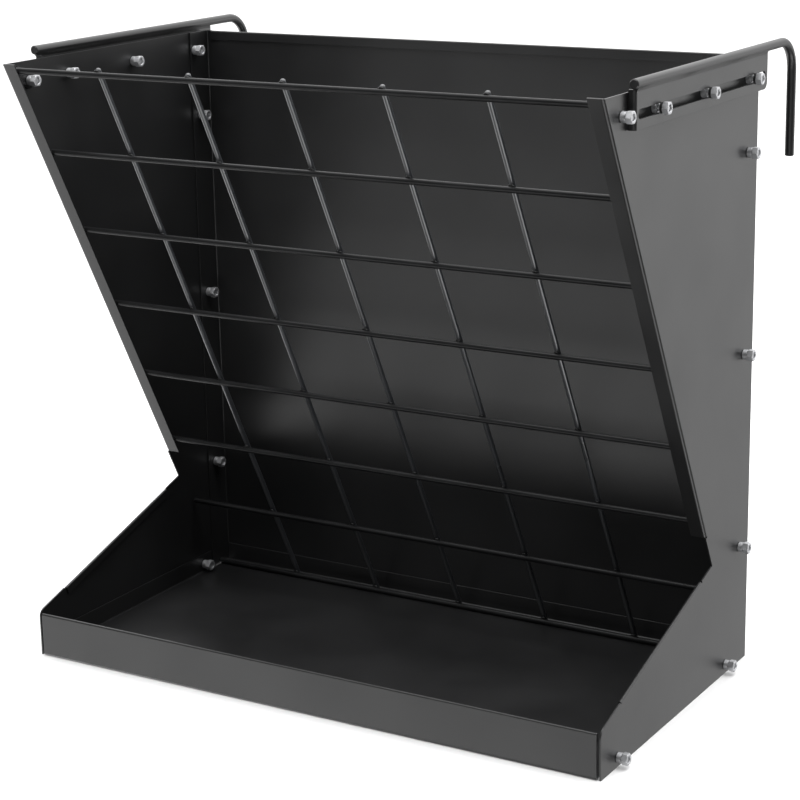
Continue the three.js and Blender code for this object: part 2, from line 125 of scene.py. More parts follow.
# A form turned about an axis along x: P(i, j) = (x_i, y + r_ij*cos(a_j), z + r_ij*sin(a_j)).
# With flats, r_ij is the smaller of the profile's r_i and the hexagon's f/cos(a' - 30 degrees).
# A thread adds h*cos(2*pi*x/pitch - a) to each radius above threadFrom
def turnedPatch(profile, place, sidesCount, flats=0.0, thread=0.0, pitch=1.0, threadFrom=0.0):
    profile = np.asarray(profile, float)
    angle = np.linspace(0, 2 * np.pi, sidesCount, endpoint=False)
    radius = np.repeat(profile[:, 1][:, None], sidesCount, axis=1)
    if flats:
        sector = np.pi / 3
        radius = np.minimum(radius, flats / np.cos(angle % sector - sector / 2)[None, :])
    if thread:
        wave = np.cos(2 * np.pi * profile[:, :1] / pitch - angle[None, :])
        radius = np.where(radius > threadFrom, radius + thread * wave, radius)
    y, z = place
    return np.stack([np.repeat(profile[:, 0][:, None], sidesCount, axis=1),
                     y + radius * np.cos(angle)[None, :], z + radius * np.sin(angle)[None, :]], axis=-1)


meshing = dict(merge=2e-6, softAngle=40, softSegments=2)


# Puts patches, in a drawing's millimetres, into one mesh: doubles merged, walls and rounded edges
# by modifiers, its finish given, the piece hung on its body and the nodes it replaces hidden
def makePiece(name, patches, finish, body, replaced=(), shell=False, wall=0.0, rounding=0.0,
              sharpness=35):
    starts = np.cumsum([0] + [len(points) for points, _ in patches])
    points = placed(np.vstack([points for points, _ in patches]))
    faces = [face for start, (_, quads) in zip(starts, patches) for face in (quads + start).tolist()]
    mesh = bpy.data.meshes.new(name)
    mesh.from_pydata(points.tolist(), [], faces)
    work = bmesh.new()
    work.from_mesh(mesh)
    bmesh.ops.remove_doubles(work, verts=work.verts, dist=meshing["merge"])
    if shell:
        bmesh.ops.recalc_face_normals(work, faces=work.faces)
    work.to_mesh(mesh)
    work.free()
    mesh.shade_smooth()
    mesh.materials.append(finish)
    piece = bpy.data.objects.new(name, mesh)
    bpy.context.collection.objects.link(piece)
    if wall:
        thick = piece.modifiers.new("wall", "SOLIDIFY")
        thick.thickness, thick.offset = wall * 0.001, -1
        thick.use_even_offset = thick.use_quality_normals = True
    if rounding:
        soft = piece.modifiers.new("edges", "BEVEL")
        soft.width, soft.segments = rounding * 0.001, meshing["softSegments"]
        soft.limit_method, soft.angle_limit = "ANGLE", math.radians(meshing["softAngle"])
    else:
        mesh.set_sharp_from_angle(angle=math.radians(sharpness))
    even = piece.modifiers.new("shading", "WEIGHTED_NORMAL")
    even.keep_sharp = True
    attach(piece, body)
    if replaced:
        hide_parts(*replaced)
    return piece


# Finishes. The photograph shows the grid's columns lighter than its rows

allLooks = dict(refraction=1.5, cloudDetail=4, grainDetail=2, cloudSpan=(0.3, 0.7))
coatLook = dict(colour=(0.014, 0.0141, 0.0146), shift=0.25, roughness=(0.33, 0.42), grain=900,
                relief=0.000045, cloud=9, gloss=0.5)
wireLook = dict(colour=(0.011, 0.0112, 0.0118), shift=0.3, roughness=(0.2, 0.32), grain=1200,
                relief=0.00004, cloud=25, gloss=0.35)
rowLook = dict(colour=(0.011, 0.0112, 0.0118), shift=0.3, roughness=(0.28, 0.4), grain=1200,
               relief=0.00004, cloud=25, gloss=0.16)
# The columns are the same black wire paint as the rows, with a colour about four times lighter: a
# painted highlight
columnHighlightLook = dict(colour=(0.045, 0.048, 0.0535), shift=0.15, roughness=(0.26, 0.36), grain=1200,
                  relief=0.00004, cloud=25, gloss=1.0)
zincLook = dict(colour=(0.58, 0.585, 0.6), shift=0.14, roughness=(0.5, 0.66), grain=1600,
                relief=0.00002, cloud=220, gloss=0.5)
# Near-black for the zinc necks and spacers between collars and nuts: painted shade standing in for the
# shadowed gap between them
neckShadeLook = dict(colour=(0.02, 0.02, 0.021), shift=0.3, roughness=(0.35, 0.5), grain=1500,
                     relief=0.00002, cloud=200, gloss=0.5)


# Colour from base*(1 - shift) to base*(1 + shift) by a cloud, roughness between two limits by the
# same cloud, and a fine grain as relief
def coatedMaterial(name, look, metallic=0.0):
    material = bpy.data.materials.new(name)
    material.use_nodes = True
    nodes, links = material.node_tree.nodes, material.node_tree.links
    shader = nodes["Principled BSDF"]
    shader.inputs["Metallic"].default_value = metallic
    shader.inputs["IOR"].default_value = allLooks["refraction"]
    shader.inputs["Specular IOR Level"].default_value = look["gloss"]
    place = nodes.new("ShaderNodeTexCoord")
    cloud = nodes.new("ShaderNodeTexNoise")
    cloud.inputs["Scale"].default_value = look["cloud"]
    cloud.inputs["Detail"].default_value = allLooks["cloudDetail"]
    grain = nodes.new("ShaderNodeTexNoise")
    grain.inputs["Scale"].default_value = look["grain"]
    grain.inputs["Detail"].default_value = allLooks["grainDetail"]
    links.new(place.outputs["Object"], cloud.inputs["Vector"])
    links.new(place.outputs["Object"], grain.inputs["Vector"])
    tone = nodes.new("ShaderNodeValToRGB")
    base, (low, high) = np.array(look["colour"]), allLooks["cloudSpan"]
    for stop, at, share in ((0, low, 1 - look["shift"]), (1, high, 1 + look["shift"])):
        tone.color_ramp.elements[stop].position = at
        tone.color_ramp.elements[stop].color = (*(base * share), 1)
    links.new(cloud.outputs["Fac"], tone.inputs["Fac"])
    links.new(tone.outputs["Color"], shader.inputs["Base Color"])
    sheen = nodes.new("ShaderNodeMapRange")
    sheen.inputs["From Min"].default_value, sheen.inputs["From Max"].default_value = low, high
    sheen.inputs["To Min"].default_value, sheen.inputs["To Max"].default_value = look["roughness"]
    links.new(cloud.outputs["Fac"], sheen.inputs["Value"])
    links.new(sheen.outputs["Result"], shader.inputs["Roughness"])
    relief = nodes.new("ShaderNodeBump")
    relief.inputs["Distance"].default_value = look["relief"]
    links.new(grain.outputs["Fac"], relief.inputs["Height"])
    links.new(relief.outputs["Normal"], shader.inputs["Normal"])
    return material


blackCoat = coatedMaterial("blackCoat", coatLook)
blackWire = coatedMaterial("blackWire", wireLook)
rowBlack = coatedMaterial("rowBlack", rowLook)
columnHighlightBlack = coatedMaterial("columnHighlightBlack", columnHighlightLook)
brightZinc = coatedMaterial("brightZinc", zincLook, metallic=1.0)
neckShadeZinc = coatedMaterial("neckShadeZinc", neckShadeLook)
print("feeder box: finishes ready")


# Side panels

panel = dict(halfWidth=305, height=580, hopperDepth=323, trayDepth=321, throatDepth=86,
             throatHeight=119.5, noseHeight=45, noseRounding=7, sheet=1.5, bend=3, flange=15,
             flangeStop=36, slit=1.5, hem=8, hemBend=1.65, hemStart=26, hemStop=42,
             edgeRounding=0.35, noseSteps=8)


# An edge from one point to another: at(s, d) = start + s*along + d*inward, with inward on its left
def slantedEdge(start, end):
    start, end = np.array(start, float), np.array(end, float)
    length = float(np.linalg.norm(end - start))
    along = (end - start) / length
    inward = np.array([-along[1], along[0]])
    return length, along, inward, lambda s, d: (start + np.multiply.outer(s, along)
                                                + np.multiply.outer(d, inward))


topCorner = (-panel["hopperDepth"], panel["height"])
throat = (-panel["throatDepth"], panel["throatHeight"])
nose = (-panel["trayDepth"], panel["noseHeight"])
upperEdge = slantedEdge(topCorner, throat)
lowerEdge = slantedEdge(throat, nose)


# A fold along an edge: its section (x, d), d inward from the edge, is carried along the edge from
# s0 + d*tilt to s1, where tilt cuts its end level
def foldPatch(edge, section, fromS, toS, tilt, sign):
    _, along, inward, at = edge
    x, depth = section.T
    yz = np.stack([at(np.full(len(x), fromS) + depth * tilt, np.zeros(len(x))),
                   at(np.full(len(x), toS), np.zeros(len(x)))])
    yz = yz + (depth[:, None] * inward)[None]
    points = np.concatenate([np.broadcast_to(sign * x[None, :, None], (2, len(x), 1)), yz], axis=-1)
    return gridPatch(points, outward=(0, -inward[0], -inward[1]))


# The panel's face is one outline, its nose rounded by (1 - w)^2*a + 2*w*(1 - w)*b + w^2*c
def makeSidePanel(title):
    side, sign = sides[title]
    upperLength, upperAlong, upperInward, upperAt = upperEdge
    lowerLength, _, _, lowerAt = lowerEdge
    reach, bend, hemBend = panel["halfWidth"], panel["bend"], panel["hemBend"]
    slit, rounding = panel["slit"], panel["noseRounding"]
    tilt = -upperInward[1] / upperAlong[1]
    flangeEnd = upperLength - panel["flangeStop"]
    hemStart, hemEnd = panel["hemStart"], lowerLength - panel["hemStop"]
    noseTop = np.array(nose)
    w = np.linspace(0, 1, panel["noseSteps"] + 1)[:, None]
    noseStart, noseEnd = lowerAt(lowerLength - rounding, 0), noseTop - [0, rounding]
    noseCurve = (1 - w) ** 2 * noseStart + 2 * w * (1 - w) * noseTop + w ** 2 * noseEnd
    outline = np.vstack([
        [(0, 0), (0, panel["height"])],
        upperAt(bend * tilt, bend), upperAt(flangeEnd, bend), upperAt(flangeEnd + slit, bend),
        upperAt(flangeEnd + slit, 0), throat, lowerAt(hemStart - slit, 0),
        lowerAt(hemStart - slit, hemBend), lowerAt(hemStart, hemBend), lowerAt(hemEnd, hemBend),
        lowerAt(hemEnd + slit, hemBend), lowerAt(hemEnd + slit, 0),
        noseCurve, [(-panel["trayDepth"], 0)]])
    x = np.full((len(outline), 1), sign * reach)
    flange = roundedPath([(reach, bend), (reach, 0, bend), (reach - panel["flange"], 0)])
    hemFace = reach - 2 * hemBend
    hem = roundedPath([(reach, hemBend), (reach, 0, hemBend), (hemFace, 0, hemBend),
                       (hemFace, panel["hem"])])
    patches = [outlinePatch(np.hstack([x, outline]), (sign, 0, 0)),
               foldPatch(upperEdge, flange, 0, flangeEnd, tilt, sign),
               foldPatch(lowerEdge, hem, hemStart, hemEnd, 0, sign)]
    makePiece("sidePanel" + title, patches, blackCoat, "feeder",
              replaced=[f"side_panel_{side}"], wall=panel["sheet"], rounding=panel["edgeRounding"])


# Back panel: a sheet with its sides folded forward and its top edge folded over

back = dict(lining=303.2, inset=3, flange=34, foot=0.3, sheet=1.5, bend=3, hem=9, hemSide=295.7,
            hemBend=1.65, edgeRounding=0.3, slack=1e-6)


# The section is carried up as far as the hem's bend, its two side flanges on to the top, and the
# hem's section is carried across
def makeBackPanel():
    top, fold = panel["height"], panel["height"] - back["hemBend"]
    lining, rear, side = back["lining"], -back["inset"], back["hemSide"]
    section = roundedPath([(-lining, -back["flange"]), (-lining, rear, back["bend"]), (-side, rear),
                           (side, rear), (lining, rear, back["bend"]), (lining, -back["flange"])])

    # P(i, j) = (x_j, y_j, z_i), the section carried up
    def raised(columns, heights):
        xy = np.broadcast_to(columns[None], (len(heights), len(columns), 2))
        z = np.broadcast_to(np.array(heights)[:, None, None], (len(heights), len(columns), 1))
        return np.concatenate([xy, z], axis=-1)

    patches = [gridPatch(raised(section, [back["foot"], fold]), (0, 1, 0))]
    for sign in (-1, 1):
        columns = section[sign * section[:, 0] >= side - back["slack"]]
        patches.append(gridPatch(raised(columns, [fold, top]), (sign, 1, 0)))
    front = rear - 2 * back["hemBend"]
    hem = roundedPath([(rear, fold), (rear, top, back["hemBend"]), (front, top, back["hemBend"]),
                       (front, top - back["hem"])])
    x = np.array([-side, side])
    points = np.stack([np.broadcast_to(x[None, :], (len(hem), 2)),
                       np.broadcast_to(hem[:, :1], (len(hem), 2)),
                       np.broadcast_to(hem[:, 1:], (len(hem), 2))], axis=-1)
    patches.append(gridPatch(points, (0, 0, 1)))
    makePiece("backPanel", patches, blackCoat, "feeder", replaced=["back_panel"],
              wall=back["sheet"], rounding=back["edgeRounding"])


# Tray: one sheet bent into the lip, the floor and three upturned flanges

tray = dict(rear=-4.8, lining=303.2, lipFace=-322, lipHeight=43.5, lipSide=301.3, hem=9,
            hemBend=1.65, flangeHeight=20, flangeFront=-308, flangeRear=-37, sheet=1.5, bend=3,
            lipFoot=-317.5, edgeRounding=0.3)


# The floor's section is carried across between the side folds, the lip's over its whole width, and
# the side folds' sections are carried from back to front
def makeTray():
    bend, hemBend, floorSide = tray["bend"], tray["hemBend"], tray["lining"] - tray["bend"]
    lipInner = tray["lipFace"] + 2 * hemBend
    section = roundedPath([(tray["rear"], tray["flangeHeight"]), (tray["rear"], 0, bend),
                           (tray["flangeRear"], 0), (tray["flangeFront"], 0), (tray["lipFoot"], 0),
                           (tray["lipFace"], 0, bend), (tray["lipFace"], tray["lipHeight"], hemBend),
                           (lipInner, tray["lipHeight"], hemBend),
                           (lipInner, tray["lipHeight"] - tray["hem"])])
    split = int(np.argmin(np.abs(section[:, 0] - tray["lipFoot"]) + np.abs(section[:, 1])))

    # P(i, j) = (x_j, y_i, z_i), the section carried across
    def drawnAcross(rows, x):
        shape = (len(rows), len(x))
        return np.stack([np.broadcast_to(np.array(x, float)[None, :], shape),
                         np.broadcast_to(rows[:, :1], shape), np.broadcast_to(rows[:, 1:], shape)],
                        axis=-1)

    patches = [gridPatch(drawnAcross(section[:split + 1], [-floorSide, floorSide]), (0, 0, -1))]
    columns = [-tray["lipSide"], -floorSide, floorSide, tray["lipSide"]]
    patches.append(gridPatch(drawnAcross(section[split:], columns), (0, -1, 0)))
    lining = tray["lining"]
    fold = roundedPath([(floorSide, 0), (lining, 0, bend), (lining, tray["flangeHeight"])])
    for sign in (-1, 1):
        points = np.stack([np.stack([sign * fold[:, 0], np.full(len(fold), y), fold[:, 1]], axis=-1)
                           for y in (tray["flangeRear"], tray["flangeFront"])])
        patches.append(gridPatch(points, (sign, 0, 0)))
    makePiece("trayPan", patches, blackCoat, "feeder", replaced=["tray_pan"],
              wall=tray["sheet"], rounding=tray["edgeRounding"])


# Wire grid, hung on the upper edge: rows just behind the flanges, columns behind the rows

grid = dict(rowWire=5.5, columnWire=5, rows=8, columns=5, pitch=99.5, offset=-3.5, firstRow=9,
            overhang=3.6, rowDepth=4.55, columnDepth=10.1, rowEnd=300.9, floor=1.8,
            rowTip=0.5, columnTip=2.3, tipSteps=5, middleSteps=11, sidesCount=28,
            beadLength=3.6, beadWidth=3.4, beadDepth=1.7, beadSpread=(0.9, 1.1), beadSeed=5,
            beadSides=12, beadRings=7)


# Distance down the slant at which a line at depth d reaches a height: (z - at(0, d).z)/along.z
def slantReach(depth, height):
    _, along, inward, _ = upperEdge
    return (height - panel["height"] - inward[1] * depth) / along[1]


# A straight wire whose ends are rounded by t: at t*(1 - cos a) from an end, its radius is
# r - t*(1 - sin a), with a from 0 to 90 degrees
def wirePatches(start, end, radius, rounding, square):
    start, end = np.array(start, float), np.array(end, float)
    length = np.linalg.norm(end - start)
    angle = np.linspace(0, np.pi / 2, grid["tipSteps"] + 1)
    near, drop = rounding * (1 - np.cos(angle)), rounding * (1 - np.sin(angle))
    middle = np.linspace(rounding, length - rounding, grid["middleSteps"] + 1)[1:-1]
    stations = np.r_[near, middle, length - near[::-1]]
    path = start + (end - start) * (stations / length)[:, None]
    radii = radius - np.r_[drop, np.zeros(len(middle)), drop[::-1]]
    return tubePatches(path, radii, grid["sidesCount"], square)


# Rows at even steps down the slant, s_i = first + i*(last - first)/(rows - 1), and columns at even
# steps across, x_i = offset + (i - (columns - 1)/2)*pitch
def makeGrid():
    _, along, inward, at = upperEdge
    rowRadius, columnRadius = grid["rowWire"] / 2, grid["columnWire"] / 2
    lastRow = slantReach(grid["rowDepth"], grid["floor"] + rowRadius)
    rowPlaces = np.linspace(grid["firstRow"], lastRow, grid["rows"])
    for i, s in enumerate(rowPlaces):
        y, z = at(s, grid["rowDepth"])
        patches = wirePatches((-grid["rowEnd"], y, z), (grid["rowEnd"], y, z), rowRadius,
                              grid["rowTip"], (0, 0, 1))
        makePiece(f"rowWire{i + 1}", patches, rowBlack, "feeder",
                  replaced=[f"grid_row_{i + 1}"], shell=True)
    columnTop = grid["firstRow"] - grid["overhang"]
    columnFoot = slantReach(grid["columnDepth"], grid["floor"] + columnRadius * inward[1])
    steps = np.arange(grid["columns"]) - (grid["columns"] - 1) / 2
    columnPlaces = grid["offset"] + steps * grid["pitch"]
    for i, x in enumerate(columnPlaces):
        start, end = at(columnTop, grid["columnDepth"]), at(columnFoot, grid["columnDepth"])
        patches = wirePatches((x, *start), (x, *end), columnRadius, grid["columnTip"], (1, 0, 0))
        # the columns take the lighter copy of the wire paint, a painted highlight
        makePiece(f"columnWire{i + 1}", patches, columnHighlightBlack, "feeder",
                  replaced=[f"grid_column_{i + 1}"], shell=True)
    makeGridWelds(rowPlaces, columnPlaces)


# Weld beads where the wires cross: flattened balls
# P = c + a*cos(v)*cos(u)*across + b*cos(v)*sin(u)*along + d*sin(v)*inward, each a little different
def makeGridWelds(rowPlaces, columnPlaces):
    _, along, inward, at = upperEdge
    rng = np.random.default_rng(grid["beadSeed"])
    size = np.array([grid["beadWidth"], grid["beadLength"], grid["beadDepth"]])
    u = np.linspace(0, 2 * np.pi, grid["beadSides"], endpoint=False)[None, :]
    v = np.linspace(-np.pi / 2, np.pi / 2, grid["beadRings"])[1:-1, None]
    depth = (grid["rowDepth"] + grid["columnDepth"]) / 2 + (grid["rowWire"] - grid["columnWire"]) / 4
    patches = []
    for s in rowPlaces:
        for x in columnPlaces:
            width, length, thick = rng.uniform(*grid["beadSpread"], 3) * size
            a, b = width * np.cos(v) * np.cos(u), length * np.cos(v) * np.sin(u)
            d = thick * np.sin(v) * np.ones_like(u)
            yz = at(s, depth) + b[..., None] * along + d[..., None] * inward
            points = np.concatenate([(x + a)[..., None], yz], axis=-1)
            inwardWay = np.array([0.0, *inward])
            patches += [gridPatch(points, closedColumns=True), outlinePatch(points[0], -inwardWay),
                        outlinePatch(points[-1], inwardWay)]
    makePiece("gridWelds", patches, blackWire, "feeder", shell=True, sharpness=180)


# Lugs that carry the ends of the first row: two circles and the lines that touch both

lug = dict(thickness=2, eyeRadius=8, tipRadius=4, eyeInset=33, eyeDrop=18, gap=0.3, rounding=0.3,
           eyeSteps=32, tipSteps=16)


# The lines touch the circles at an angle acos((R - r)/distance) on each side of their heading
def makeLug(title):
    side, sign = sides[title]
    eye = np.array([lug["eyeInset"] - panel["hopperDepth"], panel["height"] - lug["eyeDrop"]])
    _, _, _, at = upperEdge
    tip = at(grid["firstRow"], panel["bend"] + lug["gap"] + lug["tipRadius"])
    line = tip - eye
    heading = math.atan2(line[1], line[0])
    spread = math.acos((lug["eyeRadius"] - lug["tipRadius"]) / np.linalg.norm(line))
    outline = np.vstack([
        arcPoints(eye, lug["eyeRadius"], heading + spread, heading - spread + 2 * np.pi,
                  lug["eyeSteps"]),
        arcPoints(tip, lug["tipRadius"], heading - spread, heading + spread, lug["tipSteps"])])
    x = np.full((len(outline), 1), sign * back["lining"])
    patches = [outlinePatch(np.hstack([x, outline]), (sign, 0, 0))]
    makePiece("gridLug" + title, patches, blackWire, "feeder",
              replaced=[f"grid_lug_{side}"], wall=lug["thickness"], rounding=lug["rounding"])


# Hooks: a slotted plate, folded inward at its front end, and a bent rod welded along its top

hookPiece = dict(plateInner=310.1, thickness=2.2, foldInner=305.3, bend=3, length=281, height=33,
                 rise=2.5, rounding=7, slotHeight=8, slotWall=4.8, slotDrop=18, rod=8.5, rodGap=0.3,
                 overhang=2, chamfer=0.8, bendRadius=28, reach=63, drop=108, sidesCount=36,
                 edgeRounding=0.3, arcSteps=12, bendSteps=32, straightSteps=39, fallSteps=15,
                 weldFrom=30, weldDrop=1.8, weldHollow=0.3, ripple=0.05, rippleLength=1.9,
                 weldInset=1.5, rippleSteps=6, weldSteps=5, rootDepth=0.3, rootRise=0.6)


# The plate is two outlines that meet at the slot's middle, and a fold; the rod is a tube
def makeHook(title):
    side, sign = sides[title]
    body = f"hook_{side}"
    h = hookPiece
    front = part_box(f"hook_plate_{side}")[0].y * 1000 - backEdge * 1000
    rear, top = front + h["length"], panel["height"] + h["rise"]
    foot, middle = top - h["height"], panel["height"] - h["slotDrop"]
    half = h["slotHeight"] / 2
    slotFront, slotRear = front + h["slotWall"], rear - h["slotWall"]
    frontArc = arcPoints((slotFront + half, middle), half, np.pi, np.pi / 2, h["arcSteps"])
    rearArc = arcPoints((slotRear - half, middle), half, np.pi / 2, 0, h["arcSteps"])
    flat, outer = front + h["bend"], h["plateInner"] + h["thickness"]
    upper = np.vstack([[(flat, middle)], frontArc, rearArc, [(rear, middle), (rear, top), (flat, top)]])
    lowerSlot = np.vstack([frontArc, rearArc]) * (1, -1) + (0, 2 * middle)
    corner = arcPoints((rear - h["rounding"], foot + h["rounding"]), h["rounding"], 0, -np.pi / 2,
                       h["arcSteps"])
    lower = np.vstack([[(flat, middle)], lowerSlot, [(rear, middle)], corner, [(flat, foot)]])
    patches = [outlinePatch(np.hstack([np.full((len(part), 1), sign * outer), part]), (sign, 0, 0))
               for part in (upper, lower)]
    fold = roundedPath([(h["foldInner"], front), (outer, front, h["bend"]), (outer, flat)]) * (sign, 1)
    patches.append(gridPatch(np.stack([np.insert(fold, 2, z, axis=1) for z in (foot, middle, top)]),
                             (0, -1, 0)))
    makePiece("hookPlate" + title, patches, blackCoat, body,
              replaced=[f"hook_plate_{side}"], wall=h["thickness"], rounding=h["edgeRounding"])

    # the rod runs level along the plate, turns down through a quarter circle and drops
    radius = h["rod"] / 2
    level, dropY = top + h["rodGap"] + radius, rear + h["reach"]
    bendStart = dropY - h["bendRadius"]
    start, end = front - h["overhang"], level - h["drop"]
    straight = np.linspace(start + h["chamfer"], bendStart, h["straightSteps"] + 1)[:-1]
    bend = arcPoints((bendStart, level - h["bendRadius"]), h["bendRadius"], np.pi / 2, 0,
                     h["bendSteps"])
    fall = np.linspace(level - h["bendRadius"], end + h["chamfer"], h["fallSteps"] + 1)[1:]
    yz = np.vstack([[(start, level)],
                    np.stack([straight, np.full_like(straight, level)], axis=1), bend,
                    np.stack([np.full_like(fall, dropY), fall], axis=1), [(dropY, end)]])
    x = sign * (h["plateInner"] + h["thickness"] / 2)
    path = np.hstack([np.full((len(yz), 1), x), yz])
    radii = np.full(len(path), radius)
    radii[[0, -1]] -= h["chamfer"]
    makePiece("hookRod" + title, tubePatches(path, radii, h["sidesCount"], (1, 0, 0)), blackCoat,
              body, replaced=[f"hook_rod_{side}"], shell=True)
    makeHookWeld(title, body, front, rear, top, sign)


# Fillet welds under the rod, along both faces of the plate. The section runs from the rod's
# surface to the plate's, P(t) = (1 - t)*a + t*b - k*sin(pi*t)*n, and closes inside the metal; k
# swells a little along y
def makeHookWeld(title, body, front, rear, top, sign):
    h = hookPiece
    y = np.arange(front + h["weldInset"], rear - h["weldInset"], h["rippleLength"] / h["rippleSteps"])
    hollow = h["weldHollow"] + h["ripple"] * np.abs(np.sin(np.pi * y / h["rippleLength"]))
    fromAngle, radius, half = math.radians(h["weldFrom"]), h["rod"] / 2, h["thickness"] / 2
    rodFoot = top + h["rodGap"]
    onRod = np.array([radius * math.cos(fromAngle), rodFoot + radius * (1 - math.sin(fromAngle))])
    onPlate = np.array([half, top - h["weldDrop"]])
    normal = np.array([onRod[1] - onPlate[1], onPlate[0] - onRod[0]])
    normal /= np.linalg.norm(normal)
    t = np.linspace(0, 1, h["weldSteps"] + 1)[:, None]
    root = half - h["rootDepth"]
    inside = np.array([[root, top - h["weldDrop"]], [root, rodFoot + h["rootRise"]]])
    patches = []
    for face in (-1, 1):
        rings = []
        for place, depth in zip(y, hollow):
            curve = (1 - t) * onRod + t * onPlate - depth * np.sin(np.pi * t) * normal
            xz = np.vstack([curve, inside])
            x = sign * (h["plateInner"] + half + face * xz[:, 0])
            rings.append(np.stack([x, np.full(len(xz), place), xz[:, 1]], axis=1))
        rings = np.array(rings)
        patches += [gridPatch(rings, closedColumns=True), outlinePatch(rings[0], (0, -1, 0)),
                    outlinePatch(rings[-1], (0, 1, 0))]
    makePiece("hookWeld" + title, patches, blackCoat, body, shell=True, sharpness=50)


# Screws: a stud with a collar, a neck and a nut inside the panel and the same outside it. On a
# hook's stud the outer nut stands on a spacer over the plate

screw = dict(stud=5.2, thread=0.12, pitch=1.0, bore=2.9, collar=(4.7, 4.5), neck=(4.0, 0.4),
             nutFlats=5.0, nutHeight=5.6, nutCone=4.75, recess=1.3, spacer=(4.8, 2.2),
             outerFace=305.3, plateFace=312.6, rounding=0.35, darkRounding=0.1,
             ringSteps=4, nutRise=(0, 0.08, 0.16, 0.26, 0.36, 0.46, 0.56, 0.68), coneAngle=30,
             mouth=0.5, studChamfer=0.5, studStep=0.25, threadFrom=2.3, ringSides=32, nutSides=48,
             studSides=20)
studPlaces = dict(
    panel=[((-290, 562), 300.9), ((-22, 118.5), 301.4), ((-22, 306.5), 301.4),
           ((-22, 494.5), 301.4), ((-51, 9.3), 301.4), ((-288, 9.3), 301.4)],
    hook=[((-28.5, 562), 301.4), ((-129.25, 562), 303.2), ((-230, 562), 303.2)])


# Closed profile (x, r) of a ring with rounded outer edges
def ringProfile(fromX, toX, radius, rounding):
    bore = screw["bore"]
    return roundedPath([(fromX, bore), (fromX, radius, rounding), (toX, radius, rounding), (toX, bore)],
                       screw["ringSteps"])


# Closed profile of a nut: flat face, cone r = cone + rise/tan(angle) up to the corners, and a
# countersunk bore
def nutProfile(fromX, toX):
    bore, mouth, rise = screw["bore"], screw["mouth"], np.array(screw["nutRise"])
    cone = screw["nutCone"] + rise / math.tan(math.radians(screw["coneAngle"]))
    start = np.stack([fromX + rise, cone], axis=1)
    end = np.stack([toX - rise, cone], axis=1)[::-1]
    return np.vstack([[(fromX + mouth, bore), (fromX, bore + mouth)], start, end,
                      [(toX, bore + mouth), (toX - mouth, bore)]])


# Open profile of a stud, from the axis to the axis, with chamfered ends
def studProfile(fromX, toX):
    radius, chamfer = screw["stud"] / 2, screw["studChamfer"]
    x = np.arange(fromX + chamfer, toX - chamfer, screw["studStep"])
    return np.vstack([[(fromX, radius - chamfer)], np.stack([x, np.full_like(x, radius)], axis=1),
                      [(toX, radius - chamfer)]])


# From the panel's inner face inward, and from its outer face outward: collar, neck, nut. The stud
# runs through all of them
def makeScrews(title, kind):
    side, sign = sides[title]
    bright, dark = [], []
    mirror = np.array([sign, 1, 1])
    ringSides, nutSides = screw["ringSides"], screw["nutSides"]
    rounding, darkRounding = screw["rounding"], screw["darkRounding"]
    collarRadius, collarLength = screw["collar"]

    def add(group, profile, place, sidesCount, closed=True, **form):
        points = turnedPatch(profile, place, sidesCount, **form) * mirror
        group.append(gridPatch(points, closedColumns=True, closedRows=closed))
        if not closed:
            group.append(outlinePatch(points[0], (-sign, 0, 0)))
            group.append(outlinePatch(points[-1], (sign, 0, 0)))

    for place, start in studPlaces[kind]:
        collarEnd = start - collarLength
        neckEnd = collarEnd - screw["neck"][1]
        innerEnd = neckEnd - screw["nutHeight"]
        add(bright, ringProfile(collarEnd, start, collarRadius, rounding), place, ringSides)
        # the neck goes into the near-black group, painted shade between collar and nut
        add(dark, ringProfile(neckEnd, collarEnd, screw["neck"][0], darkRounding), place, ringSides)
        add(bright, nutProfile(innerEnd, neckEnd), place, nutSides, flats=screw["nutFlats"])
        face = screw["outerFace"]
        collarEnd = face + collarLength
        add(bright, ringProfile(face, collarEnd, collarRadius, rounding), place, ringSides)
        if kind == "hook":
            neckStart, (neckRadius, neckLength) = screw["plateFace"], screw["spacer"]
        else:
            neckStart, (neckRadius, neckLength) = collarEnd, screw["neck"]
        nutStart = neckStart + neckLength
        add(dark, ringProfile(neckStart, nutStart, neckRadius, darkRounding), place, ringSides)
        outerEnd = nutStart + screw["nutHeight"]
        add(bright, nutProfile(nutStart, outerEnd), place, nutSides, flats=screw["nutFlats"])
        add(bright, studProfile(innerEnd + screw["recess"], outerEnd - screw["recess"]), place,
            screw["studSides"], closed=False, thread=screw["thread"], pitch=screw["pitch"],
            threadFrom=screw["threadFrom"])
    count = len(studPlaces[kind])
    nodes = [f"{kind}_{part}_{side}_{i + 1}" for i in range(count) for part in ("bolt", "nut")]
    makePiece(kind + "Screws" + title, bright, brightZinc, "feeder", replaced=nodes, shell=True)
    # necks and spacers get the near-black finish, painted shade in the gaps between collars and nuts
    makePiece(kind + "PaintedShadeRings" + title, dark, neckShadeZinc, "feeder", shell=True)


for title in sides:
    makeSidePanel(title)
makeBackPanel()
makeTray()
print("feeder box: sheet metal folded")
makeGrid()
for title in sides:
    makeLug(title)
print("feeder box: wire grid welded")
for title in sides:
    makeHook(title)
    makeScrews(title, "panel")
    makeScrews(title, "hook")
print("feeder box: hooks and screws fitted")


# Floor, lights and camera

studio = dict(floorSize=16, floorColour=0.93, floorRoughness=0.9, background=0.95, skyPeak=4,
              turnOver=(-0.3, 0.3),
              camera=dict(place=(1.04855, -1.71417, 0.81369), turn=(74.55542, 1.09158, 30.73608),
                          lens=98.998, sensor=36))
